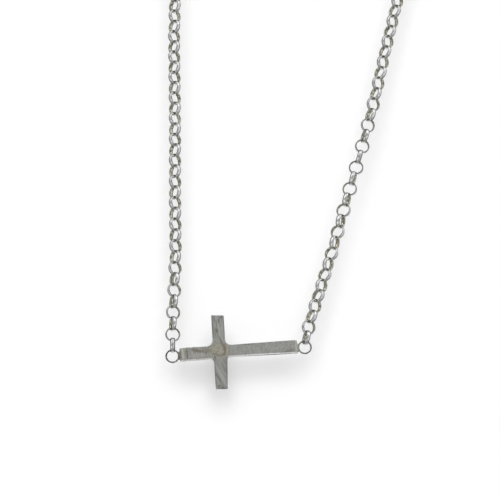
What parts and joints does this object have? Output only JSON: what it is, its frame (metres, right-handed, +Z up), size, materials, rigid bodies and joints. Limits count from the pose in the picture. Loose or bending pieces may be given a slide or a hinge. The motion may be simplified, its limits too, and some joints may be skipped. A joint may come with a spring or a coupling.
{
  "type": "cross necklace",
  "caption": "Flat metal cross worn sideways, held at both ends of its long bar by a fine belcher chain that closes with a spring ring.",
  "frame": {"origin": "top of the necklace's loop, on the chain's centre line, where it hangs at the back of the neck", "axes": "+Z up along the hanging necklace, +X to the right seen from the front, the cross's front faces -Y"},
  "size_m": [0.074, 0.0038, 0.1982],
  "materials": {
    "satin_silver": "brushed satin, warm grey, with a polished edge",
    "polished_silver": "polished, slightly darkened where the links touch"
  },
  "bodies": {
    "necklace": {"chain_left": "polished_silver", "chain_right": "polished_silver", "clasp": "polished_silver", "clasp_ring": "polished_silver"},
    "cross": {"cross": "satin_silver"}
  },
  "joints": [
    {"name": "cross_swing", "type": "hinge", "parent": "necklace", "child": "cross", "pos_m": [-0.03492, 0, -0.18551], "axis": [0.9976, 0, 0.0685], "range_deg": [-60, 60]}
  ]
}
